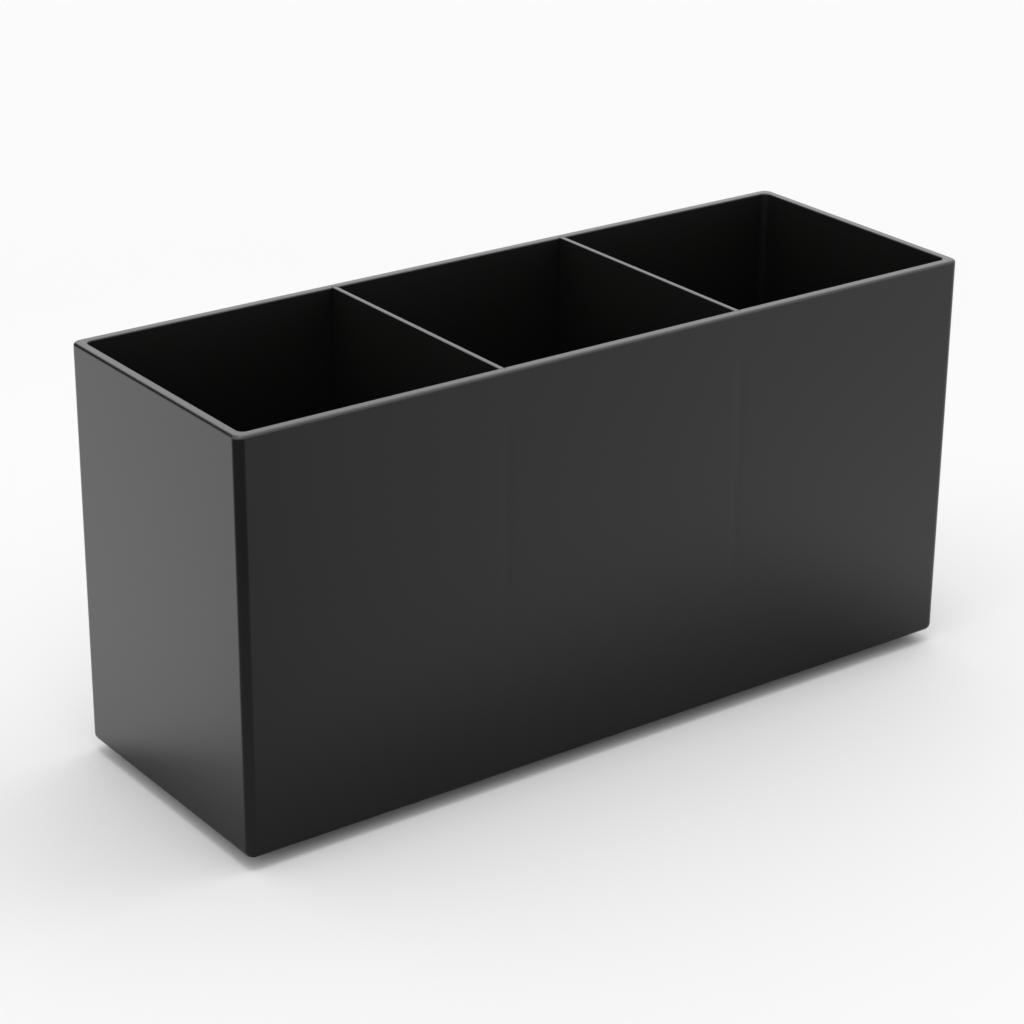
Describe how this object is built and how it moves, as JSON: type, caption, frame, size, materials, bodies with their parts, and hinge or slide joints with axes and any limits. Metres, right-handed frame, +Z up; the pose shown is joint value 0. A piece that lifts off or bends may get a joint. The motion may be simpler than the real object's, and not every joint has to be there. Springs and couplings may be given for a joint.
{
  "type": "utensil holder",
  "caption": "Upright rectangular bin for cutlery and utensils, split into equal compartments side by side by thin dividers flush with its rim, on low rubber feet.",
  "frame": {"origin": "on the table, under the middle of the bin: the plane is the underside of the four feet", "axes": "+X along the row of compartments, to the right seen from the front; +Y from the front face to the back; +Z up, out of the open compartments"},
  "size_m": [0.305, 0.107, 0.153],
  "materials": {
    "bin_plastic": "satin black moulded plastic",
    "divider_plastic": "satin black plastic sheet",
    "foot_rubber": "dull black rubber"
  },
  "bodies": {
    "root": {"bin_shell": "bin_plastic", "divider_left": "divider_plastic", "divider_right": "divider_plastic", "foot_front_left": "foot_rubber", "foot_front_right": "foot_rubber", "foot_back_left": "foot_rubber", "foot_back_right": "foot_rubber"}
  },
  "joints": []
}
